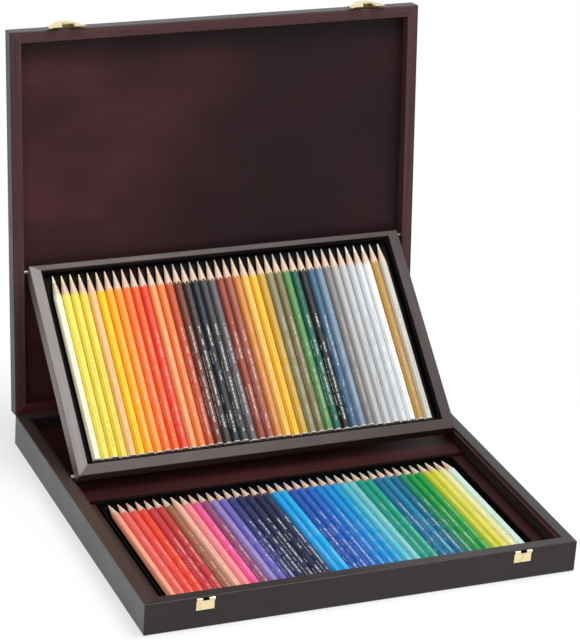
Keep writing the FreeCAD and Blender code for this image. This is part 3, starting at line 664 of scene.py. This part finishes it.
# ---- sub-assemblies
@dataclass
class Pencil:
    """One sharpened hexagonal pencil along +Y, sizes in millimetres, resting on z = 0."""

    length: float = 176.5
    corner_radius: float = 3.95
    edge_round: float = 0.6
    cone_length: float = 24.0
    lead_radius: float = 1.5
    point_radius: float = 0.35
    dipped_length: float = 1.1
    around: int = 48

    @property
    def half_flats(self) -> float:
        """Half the distance between opposite flats."""
        return self.corner_radius * math.cos(math.radians(30))

    @property
    def apex(self) -> float:
        """Where the sharpened cone would come to a point."""
        return self.length + self.point_radius / self.slope

    @property
    def slope(self) -> float:
        """The cone's radius for each millimetre before its apex."""
        return self.corner_radius / self.cone_length

    def angles(self) -> np.ndarray:
        """Even angles round the axis, from the corner on +X."""
        return np.linspace(0, 2 * np.pi, self.around, endpoint=False)

    def radius(self, angle: np.ndarray) -> np.ndarray:
        """The casing's radius at each angle.

        From the nearest corner's direction b, the flat lies at half_flats / cos(30 - b).  Near the
        corner an arc of edge_round replaces it, centred on the corner's line so that it touches both
        flats, and the smaller of the two radii is taken.

        Args:
            angle: Angles in radians.

        Returns:
            The radii in millimetres.
        """
        sixth = math.radians(60)
        off_corner = np.abs((angle + sixth / 2) % sixth - sixth / 2)
        flat = self.half_flats / np.cos(sixth / 2 - off_corner)
        centre = (self.half_flats - self.edge_round) / math.cos(sixth / 2)
        inside = np.clip(self.edge_round ** 2 - (centre * np.sin(off_corner)) ** 2, 0, None)
        arc = centre * np.cos(off_corner) + np.sqrt(inside)
        on_arc = centre * np.sin(off_corner) < self.edge_round * math.sin(sixth / 2)
        return np.where(on_arc, np.minimum(flat, arc), flat)

    def casing(self) -> tuple[np.ndarray, list[np.ndarray], np.ndarray, np.ndarray]:
        """Rings of points from the blunt end to the lead's shoulder, each ring a radius and a place on Y.

        Returns:
            The points, the faces, each face's zone (0 paint, 1 raw wood, 2 blunt end) and each point's UV.
        """
        angle = self.angles()
        full = self.radius(angle)
        cut = self.apex - full / self.slope
        shoulder = self.apex - self.lead_radius / self.slope
        middle = (full + self.lead_radius) / 2
        rings = [
            (0.72 * full, 0.12 + 0 * full), (full - 0.35, 0 * full), (full - 0.08, 0.12 + 0 * full),
            (full, 0.4 + 0 * full), (full, self.dipped_length + 0 * full), (full, cut - 0.3),
            (full - 0.05, cut), (middle, self.apex - middle / self.slope),
            (self.lead_radius + 0 * full, shoulder + 0 * full),
        ]
        radius = np.stack([ring[0] for ring in rings])
        y = np.stack([ring[1] for ring in rings])
        points = np.stack([radius * np.cos(angle), y, self.half_flats + radius * np.sin(angle)], axis=-1)
        count = self.around
        flat = points.reshape(-1, 3)
        ends = np.array([[0, 0.3, self.half_flats], [0, shoulder - 1.0, self.half_flats]])
        quads = grid_quads(len(rings), count, True)[:, ::-1]
        blunt = fan(0, count, len(flat))
        inner = fan(len(flat) - count, count, len(flat) + 1)[:, ::-1]
        row = np.arange(len(quads)) // count
        blunt_rows, painted_rows = 4, 6
        along = np.where(row < blunt_rows, 2.0, np.where(row < painted_rows, 0.0, 1.0))
        zone = np.concatenate([along, np.full(count, 2.0), np.ones(count)])
        turn = np.tile(angle / (2 * np.pi), len(rings))
        uv = np.stack([np.append(turn, [0.5, 0.5]), np.append(flat[:, 1], ends[:, 1]) / self.length], axis=-1)
        return np.concatenate([flat, ends]), [quads, np.concatenate([blunt, inner])], zone, uv

    def lead(self) -> tuple[np.ndarray, list[np.ndarray]]:
        """The lead's bare point: rings down a cone, rounded over its tip and closed inside the casing.

        Returns:
            The points and the faces.
        """
        angle = np.linspace(0, 2 * np.pi, 20, endpoint=False)
        waist, nose = 0.95, self.point_radius + 0.15
        radius = np.array([self.lead_radius, self.lead_radius, waist, nose, self.point_radius * 0.7])
        shoulder = self.apex - self.lead_radius / self.slope
        sunk = shoulder - 0.8
        y = np.array([sunk, shoulder, self.apex - waist / self.slope, self.apex - nose / self.slope,
                      self.length - 0.05])
        x = radius[:, None] * np.cos(angle)
        z = self.half_flats + radius[:, None] * np.sin(angle)
        flat = np.stack([x, np.broadcast_to(y[:, None], x.shape), z], axis=-1).reshape(-1, 3)
        ends = np.array([[0, sunk, self.half_flats], [0, self.length, self.half_flats]])
        count = len(angle)
        quads = grid_quads(len(radius), count, True)[:, ::-1]
        tip = fan(len(flat) - count, count, len(flat) + 1)[:, ::-1]
        return np.concatenate([flat, ends]), [quads, np.concatenate([fan(0, count, len(flat)), tip])]


@dataclass
class PencilRow:
    """Forty pencils side by side in one tin, named by colour family from left to right."""

    tier: str
    body: str
    tilt: Tilt
    start: tuple[float, float]
    families: dict[str, tuple[str, ...]]
    pitch: float = 7.95
    slide: float = 0.5
    seed: int = 4
    pencil: Pencil = field(default_factory=Pencil)

    def build(self, paint: Material, lead: Material) -> None:
        """Make a piece for each colour family and one for all the lead points.

        Args:
            paint: The material of the casings.
            lead: The material of the leads.
        """
        colours = [code for family in self.families.values() for code in family]
        x = (np.arange(len(colours)) - (len(colours) - 1) / 2) * self.pitch
        slides = np.random.default_rng(self.seed).uniform(-self.slide, self.slide, len(colours))
        shifts = np.stack([x, self.start[0] + slides, np.full(len(x), self.start[1])], axis=-1)
        shades = np.array([linear(code) for code in colours])
        first = 0
        for family, codes in self.families.items():
            chosen = slice(first, first + len(codes))
            self._casings(f"{self.tier}_pencils_{family}", shifts[chosen], shades[chosen], paint)
            first += len(codes)
        self._leads(shifts, shades, lead)

    def _repeat(self, name: str, shape: tuple[np.ndarray, list[np.ndarray]], shifts: np.ndarray,
                shades: np.ndarray) -> Object:
        """Copy one shape to each place as one mesh, each copy in its own colour.

        Args:
            name: The object's name.
            shape: Points in millimetres, and faces.
            shifts: Where each copy goes, in millimetres in the tier's flat axes.
            shades: Each copy's linear colour.

        Returns:
            The object.
        """
        points, faces = shape
        every = (points[None] + shifts[:, None]) * MM
        copy = np.arange(len(shifts))
        step = (copy * len(points))[:, None, None]
        repeated = [(block[None] + step).reshape(-1, block.shape[1]) for block in faces]
        obj = mesh_object(name, self.tilt.place(every), repeated, smooth_angle=25.0)
        paint_faces(obj, shades[np.concatenate([np.repeat(copy, len(block)) for block in faces])])
        return obj

    def _casings(self, node: str, shifts: np.ndarray, shades: np.ndarray, paint: Material) -> None:
        """Make one family's casings, with their paint, zone and UV attributes.

        Args:
            node: The node that the piece stands for.
            shifts: Where each pencil goes, in millimetres in the tier's flat axes.
            shades: Each pencil's linear colour.
            paint: The casings' material.
        """
        points, faces, zone, uv = self.pencil.casing()
        obj = self._repeat(node + "_painted", (points, faces), shifts, shades)
        quads = len(faces[0])
        copies = len(shifts)
        zones = np.concatenate([np.tile(zone[:quads], copies), np.tile(zone[quads:], copies)])
        layer = obj.data.attributes.new("zone", "FLOAT", "FACE")
        layer.data.foreach_set("value", zones.astype(np.float32))
        corners = np.zeros(len(obj.data.loops), np.int32)
        obj.data.loops.foreach_get("vertex_index", corners)
        self._store_uv(obj, np.tile(uv, (copies, 1))[corners], quads * copies)
        dress(obj, self.body, f"{self.tier}_paint_{node.rsplit('_', 1)[1]}", paint, node)

    def _store_uv(self, obj: Object, uv: np.ndarray, quads: int) -> None:
        """Write the UV map, keeping faces that cross the seam from running backwards.

        Args:
            obj: The object, whose faces of four corners come first.
            uv: A place for each face corner.
            quads: How many faces have four corners.
        """
        around = uv[:4 * quads, 0].reshape(-1, 4)
        crossing = (around.max(axis=1) - around.min(axis=1)) > 0.5
        around[crossing] = np.where(around[crossing] < 0.5, around[crossing] + 1, around[crossing])
        uv[:4 * quads, 0] = around.ravel()
        layer = obj.data.uv_layers.new(name="wrap")
        layer.data.foreach_set("uv", uv.astype(np.float32).ravel())

    def _leads(self, shifts: np.ndarray, shades: np.ndarray, material: Material) -> None:
        """Make all the lead points of the row as one piece.

        Args:
            shifts: Where each pencil goes, in millimetres in the tier's flat axes.
            shades: Each pencil's linear colour.
            material: The leads' material.
        """
        node = f"{self.tier}_leads"
        obj = self._repeat(node + "_points", self.pencil.lead(), shifts, shades)
        dress(obj, self.body, "coloured_lead", material, node)


@dataclass
class Tin:
    """A pressed black tin with a rolled lip and round corners, sizes in millimetres."""

    node: str
    body: str
    tilt: Tilt
    start: tuple[float, float]
    width: float = 330.0
    length: float = 183.0
    height: float = 7.5
    corner: float = 6.0
    lip: float = 0.7
    sheet: float = 0.55

    def build(self, material: Material) -> None:
        """Carry the tin's section round its rounded outline.

        The section is a list of (inset, height) points: up the outer wall, over a round lip, down the
        inner wall and round a small bend to the floor.  At each, the ring is the outline moved inwards
        by the inset, its corners an arc of what is left of the corner radius.

        Args:
            material: The tin's material.
        """
        bend = np.linspace(0, math.pi, 9)
        lip_inset = self.lip - self.lip * np.cos(bend)
        lip_height = self.height - self.lip + self.lip * np.sin(bend)
        floor = np.linspace(0, math.pi / 2, 5)
        inner = 2 * self.lip
        inset = np.concatenate([[3.0, 1.2, 0.6], lip_inset, inner + 1.5 * (1 - np.cos(floor)), [30.0]])
        bend_height = self.sheet + 1.5 * (1 - np.sin(floor))
        height = np.concatenate([[0.0, 0.0, 0.6], lip_height, bend_height, [self.sheet]])
        rings = np.stack([self._ring(edge, z) for edge, z in zip(inset, height)])
        count = rings.shape[1]
        flat = rings.reshape(-1, 3)
        middle_y = self.start[0] + self.length / 2
        ends = np.array([[0, middle_y, self.start[1]], [0, middle_y, self.start[1] + self.sheet]])
        caps = [fan(0, count, len(flat))[:, ::-1], fan(len(flat) - count, count, len(flat) + 1)]
        points = np.concatenate([flat, ends]) * MM
        faces = [grid_quads(len(rings), count, True), np.concatenate(caps)]
        obj = mesh_object(self.node + "_pressed", self.tilt.place(points), faces, smooth_angle=50.0)
        dress(obj, self.body, "black_tin", material, self.node)

    def _ring(self, inset: float, z: float) -> np.ndarray:
        """One rounded rectangle: four quarter arcs, whose centres are the corners' centres.

        Args:
            inset: How far inside the outer outline the ring lies.
            z: Its height above the tin's underside.

        Returns:
            The ring's points, anticlockwise seen from above.
        """
        radius = max(self.corner - inset, 0.4)
        half_x = self.width / 2 - inset - radius
        half_y = self.length / 2 - inset - radius
        turn = np.linspace(0, math.pi / 2, 8)
        quarter = np.concatenate([turn + corner * math.pi / 2 for corner in range(4)])
        centre_x = np.repeat([half_x, -half_x, -half_x, half_x], len(turn))
        centre_y = np.repeat([half_y, half_y, -half_y, -half_y], len(turn))
        x = centre_x + radius * np.cos(quarter)
        y = self.start[0] + self.length / 2 + centre_y + radius * np.sin(quarter)
        return np.stack([x, y, np.full_like(x, self.start[1] + z)], axis=-1)


def dress(obj: Object, body: str, slot: str, material: Material, *nodes: str) -> None:
    """Give a new piece its material and body, and hide the nodes that it stands for.

    Args:
        obj: The piece.
        body: The body that it rides on.
        slot: Not used.
        material: Its material.
        *nodes: The nodes that it replaces.
    """
    obj.data.materials.append(material)
    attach(obj, body)
    if nodes:
        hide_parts(*nodes)
    LOG.info("%s rides on %s", obj.name, body)


def coat_node(node: str, material: Material) -> None:
    """Give a carried-over node its finish.

    Args:
        node: The node's name.
        material: Its material.
    """
    obj = frame["nodes"][node]
    if not obj.data.materials:
        obj.data.materials.append(material)
    for index in range(len(obj.data.materials)):
        obj.data.materials[index] = material
    LOG.info("%s keeps its shape", node)


@dataclass
class WoodenCase:
    """The base, lid and tray joinery, whose nodes keep their shapes and take their stains, some with painted
    light and shade.
    """

    outside: WoodFinish
    brown_rim: WoodFinish
    lid: WoodFinish
    inside: WoodFinish
    well: WoodFinish
    lid_back: WoodFinish
    deck: WoodFinish
    shaded: WoodFinish
    packing: WoodFinish
    tray: WoodFinish
    ends: WoodFinish
    right_side: WoodFinish

    def dress_nodes(self) -> None:
        """Stain each board with its grain along its length; some finishes carry painted light and shade."""
        lid, tray = lid_tilt(), tray_tilt()
        plan = {
            (self.outside, Grain.ALONG_X, LEVEL): ("base_front_wall",),
            (self.brown_rim, Grain.ALONG_X, LEVEL): ("base_back_wall",),
            (self.outside, Grain.ALONG_Y, LEVEL): ("base_right_wall",),
            (self.brown_rim, Grain.ALONG_Y, LEVEL): ("base_left_wall",),
            (self.lid, Grain.ALONG_X, lid): ("lid_front_rail",),
            (self.inside, Grain.ALONG_X, lid): ("lid_panel",),
            (self.lid_back, Grain.ALONG_X, lid): ("lid_back_rail",),
            (self.lid, Grain.ALONG_Y, lid): ("lid_left_rail", "lid_right_rail"),
            (self.deck, Grain.ALONG_X, LEVEL): ("rear_deck",),
            (self.well, Grain.ALONG_X, LEVEL): ("base_bottom_panel",),
            (self.shaded, Grain.ALONG_X, LEVEL): ("lower_tin_bed", "deck_support_strips"),
            (self.packing, Grain.ALONG_Y, LEVEL): ("left_packer", "left_runner"),
            (self.deck, Grain.ALONG_Y, LEVEL): ("right_packer", "right_runner"),
            (self.ends, Grain.ALONG_X, tray): ("tray_bottom_rail", "tray_top_rail"),
            (self.tray, Grain.ALONG_Y, tray): ("tray_left_rail",),
            (self.right_side, Grain.ALONG_Y, tray): ("tray_right_rail",),
            (self.deck, Grain.ALONG_X, tray): ("tray_back_panel",),
        }
        for (finish, grain, tilt), nodes in plan.items():
            for node in nodes:
                coat_node(node, finish.material(grain, tilt))


@dataclass
class Hardware:
    """The hinges, latches, catches and pins, which keep their shapes."""

    brass: MetalFinish
    plate: MetalFinish
    steel: MetalFinish

    def dress_nodes(self) -> None:
        """Plate each piece of hardware."""
        brass, plate, steel = self.brass.material(), self.plate.material(), self.steel.material()
        plan = {
            brass: ("hinge_base_leaves", "hinge_base_screws", "hinge_lid_leaves", "hinge_lid_screws",
                    "hinge_pins", "left_latch_lever", "right_latch_lever", "catches", "catch_pins"),
            plate: ("latch_plates", "latch_pins", "latch_screws"),
            steel: ("tray_upper_pins", "tray_lower_pins"),
        }
        for material, nodes in plan.items():
            for node in nodes:
                coat_node(node, material)


@dataclass
class Studio:
    """A white floor, a white surround, soft lamps and the camera.

    Angles are in degrees. The camera's lengths are in millimetres, and the others in metres.
    """

    azimuth: float = 23.67
    elevation: float = 24.27
    roll: float = 3.87
    target: tuple[float, float, float] = (95.31, 235.24, 60.0)
    distance: float = 2621.0
    lens: float = 158.02
    floor_size: float = 12.0
    surround: float = 0.42
    footprint: tuple[float, float] = (0.19, 0.172)
    lamp_target: tuple[float, float, float] = (0.0, 0.05, 0.12)

    def build(self) -> None:
        """Make the floor, the surround, the lamps and the camera."""
        self._floor()
        self._world()
        self._lamp("key_softbox", (-1.4, -1.9, 1.7), 2.0, 15.5)
        self._lamp("fill_softbox", (2.0, -1.6, 1.6), 1.8, 7.0)
        self._lamp("top_softbox", (0.34, -0.15, 1.5), 0.8, 16.5)
        self._camera()

    def _floor(self) -> None:
        """A wide white sheet that keeps the shadow close to the case and fades to plain white."""
        reach = self.floor_size / 2
        line = np.linspace(-reach, reach, FLOOR_LINES)
        x, y = np.meshgrid(line, line, indexing="ij")
        points = np.stack([x, y, np.full_like(x, -0.3 * MM)], axis=-1)
        obj = mesh_object("studio_floor", points, [grid_quads(FLOOR_LINES, FLOOR_LINES, False)[:, ::-1]])
        material, graph, shader = new_material("white_floor")
        graph.feed(shader, {"Base Color": (0.96, 0.96, 0.96, 1), "Roughness": 0.9, "Specular IOR Level": 0.1})
        vectors = "ShaderNodeVectorMath"
        size = graph.add(vectors, {0: graph.position()}, operation="ABSOLUTE").outputs[0]
        beyond = graph.add(vectors, {0: size, 1: (*self.footprint, 0.0)}, operation="SUBTRACT").outputs[0]
        outside = graph.add(vectors, {0: beyond, 1: (0.0, 0.0, 0.0)}, operation="MAXIMUM").outputs[0]
        distance = graph.add(vectors, {0: outside}, operation="LENGTH").outputs["Value"]
        far = graph.span(distance, 0.0, 0.2, 0.62, 1.0, smooth=True)
        glow = graph.add("ShaderNodeEmission", {"Color": (1, 1, 1, 1), "Strength": 1.0}).outputs[0]
        share = graph.math("MULTIPLY", far, graph.plain_rays())
        blend = graph.add("ShaderNodeMixShader", {0: share, 1: shader.outputs[0], 2: glow}).outputs[0]
        graph.feed(graph.tree.nodes["Material Output"], {"Surface": blend})
        obj.data.materials.append(material)

    def _world(self) -> None:
        """An even pale surround that the camera and reflections see as white."""
        world = bpy.data.worlds.new("surround")
        world.use_nodes = True
        bpy.context.scene.world = world
        graph = Graph(world.node_tree)
        strength = graph.span(graph.plain_rays(), 0.0, 1.0, self.surround, 1.0)
        graph.feed(world.node_tree.nodes["Background"], {"Strength": strength, "Color": (1, 1, 1, 1)})

    def _lamp(self, name: str, place: tuple[float, float, float], size: float, power: float) -> None:
        """Add a square soft lamp aimed at the case.

        Args:
            name: The lamp's name.
            place: Where it stands, in metres.
            size: Its side, in metres.
            power: Its power, in watts.
        """
        light = bpy.data.lights.new(name, "AREA")
        light.size = size
        light.energy = power
        obj = bpy.data.objects.new(name, light)
        bpy.context.scene.collection.objects.link(obj)
        obj.location = place
        aim = np.array(self.lamp_target) - np.array(place)
        tip = math.atan2(math.hypot(aim[0], aim[1]), -aim[2])
        obj.rotation_euler = (tip, 0, math.atan2(-aim[0], aim[1]))

    def _camera(self) -> None:
        """Place the camera by its viewing angles, its roll and the point that it looks at."""
        angles = (self.azimuth, self.elevation, self.roll)
        azimuth, elevation, roll = (math.radians(value) for value in angles)
        level = math.cos(elevation)
        forward = np.array([math.sin(azimuth) * level, math.cos(azimuth) * level, -math.sin(elevation)])
        level_right = np.cross(forward, [0, 0, 1])
        level_right /= np.linalg.norm(level_right)
        level_up = np.cross(level_right, forward)
        right = level_right * math.cos(roll) + level_up * math.sin(roll)
        up = -level_right * math.sin(roll) + level_up * math.cos(roll)
        eye = (np.array(self.target) - forward * self.distance) * MM
        camera = bpy.data.cameras.new("studio_camera")
        camera.lens = self.lens
        camera.sensor_width = 36.0
        camera.clip_end = 50.0
        obj = bpy.data.objects.new("studio_camera", camera)
        rows = [[*row, place] for row, place in zip(np.stack([right, up, -forward], axis=1), eye)]
        obj.matrix_world = Matrix(rows + [[0, 0, 0, 1]])
        bpy.context.scene.collection.objects.link(obj)
        bpy.context.scene.camera = obj


UPPER_COLOURS = {
    "yellow": ("#faf4d6", "#f0e160", "#f1de58", "#f0d850", "#edc083", "#fccb18", "#fbb026"),
    "orange": ("#fa9c2e", "#f67a38", "#ea6028", "#e6462c", "#ee9a5e", "#e88244", "#c0502a"),
    "brown": ("#6e3526", "#382a27", "#15202c", "#3a3a3c", "#5e5a60"),
    "ochre": ("#94402f", "#a05848", "#d08742", "#edbd5c", "#eebc30", "#c8a038"),
    "green": ("#8a8462", "#7d744e", "#568a4a", "#0c5c4a", "#0c1014", "#3b617e"),
    "grey": ("#758da2", "#85807f", "#b0b2b0", "#bec0c1", "#c8cbce"),
    "white": ("#d4d8da", "#e9eaea", "#b48c40", "#cbc5ba"),
}
LOWER_COLOURS = {
    "red": ("#f3a084", "#ea6b60", "#ec544c", "#ea4a34", "#c93c46", "#c63e3a", "#a3684f"),
    "pink": ("#ecb6a0", "#f09096", "#ee5c9c", "#935076", "#9480c0"),
    "indigo": ("#6c66ba", "#34407a", "#202c58", "#20294e", "#151f44", "#263a58", "#049ee2"),
    "blue": ("#08ace2", "#1a54a8", "#2260b8", "#1866be", "#1080cc", "#088ed2"),
    "turquoise": ("#069cd2", "#50bacc", "#70c2c6", "#0c9680", "#08a084", "#086c96"),
    "green": ("#0c7da6", "#086c8e", "#0a8460", "#04923e", "#0c9a3e", "#bcc62c"),
    "lime": ("#dcd64e", "#e6e29a", "#cde5dd"),
}


def main() -> None:
    """Build and dress the case from its wood inwards, then set up the studio."""
    logging.basicConfig(level=logging.INFO, format="%(name)s: %(message)s")
    grain_group()
    handling_group()
    WoodenCase(
        outside=WoodFinish("case_stain", SHELL_DARK, SHELL_LIGHT, "#201718", specular=0.2, coat=SHELL_COAT,
                           sheen=0.22),
        brown_rim=WoodFinish("brown_rim_stain", SHELL_DARK, SHELL_LIGHT, "#201718", specular=0.2,
                             coat=SHELL_COAT, sheen=0.22, shade_and_rim_tone="#38251f", rim=0.8),
        lid=WoodFinish("lid_stain", "#362224", "#573c3b", "#4a2c2f", specular=0.15, coat=0.05, shell=True),
        inside=WoodFinish("panel_stain", "#46242a", "#512b31", "#281719", specular=0.12, coat=0.0,
                          shade_and_rim_tone="#1d1214", painted_side_shade=0.8, shell=True, front_shade=0.75),
        # The bottom panel and the lid's back rail take a lighter copy of the deck's stain: painted light that
        # lifts the shade they lie in.
        well=WoodFinish("well_stain", "#4c2225", "#612e31", "#3c1a1c", specular=0.15, coat=0.0),
        lid_back=WoodFinish("lid_back_stain", "#4c2225", "#612e31", "#3c1a1c", specular=0.15, coat=0.0,
                            shell=True),
        deck=WoodFinish("deck_stain", "#391a1a", "#4b2425", "#281112", specular=0.12, coat=0.0,
                        shade_and_rim_tone="#2a1414", painted_side_shade=0.5),
        shaded=WoodFinish("shaded_stain", "#241213", "#351a1b", "#401614", specular=0.15, coat=0.05),
        packing=WoodFinish("packer_stain", "#2c201d", "#453430", "#382825", specular=0.2, coat=0.1),
        # The tray's left rail takes a pale grey copy of its wood, a painted sheen for the light from the
        # left, and its right rail a dark copy, painted shade. Its end rails darken towards +X, painted shade.
        tray=WoodFinish("tray_stain", "#5a4e4e", "#7a6d6d", "#695b5b", specular=0.4, coat=0.3),
        ends=WoodFinish("tray_end_stain", "#3f3131", "#594848", "#4a3a3a", specular=0.25, coat=0.1,
                        shade_and_rim_tone="#271716", painted_side_shade=0.85),
        right_side=WoodFinish("tray_right_stain", "#251818", "#3c2c2c", "#2f2020", specular=0.25, coat=0.1),
    ).dress_nodes()
    Hardware(MetalFinish("pale_brass", "#f0dfb2", 1.0, 0.2, "#c3a463", 0.12),
             MetalFinish("dull_brass", "#8f7a50", 1.0, 0.38, "#5c4a2c", 0.1),
             MetalFinish("bright_steel", "#a39e98", 1.0, 0.34, "#6f6a65", 0.1)).dress_nodes()
    black = MetalFinish("black_tin", "#080606", 0.0, 0.45, "#0e0a0a", 0.0, 0.05).material()
    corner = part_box("lower_tin")[0] / MM
    Tin("upper_tin", "tray", tray_tilt(), UPPER_TIN_START).build(black)
    Tin("lower_tin", "base", LEVEL, (corner.y, corner.z)).build(black)
    paint, lead = PaintedPencilFinish().material(), LeadFinish().material()
    upper_row = (UPPER_TIN_START[0] + PENCIL_START[0], UPPER_TIN_START[1] + PENCIL_START[1])
    lower_row = (corner.y + PENCIL_START[0], corner.z + PENCIL_START[1])
    PencilRow("upper", "tray", tray_tilt(), upper_row, UPPER_COLOURS, seed=4).build(paint, lead)
    PencilRow("lower", "base", LEVEL, lower_row, LOWER_COLOURS, seed=9).build(paint, lead)
    Studio().build()
    scene = bpy.context.scene
    scene.view_settings.view_transform = "Standard"


if __name__ == "__main__":
    main()
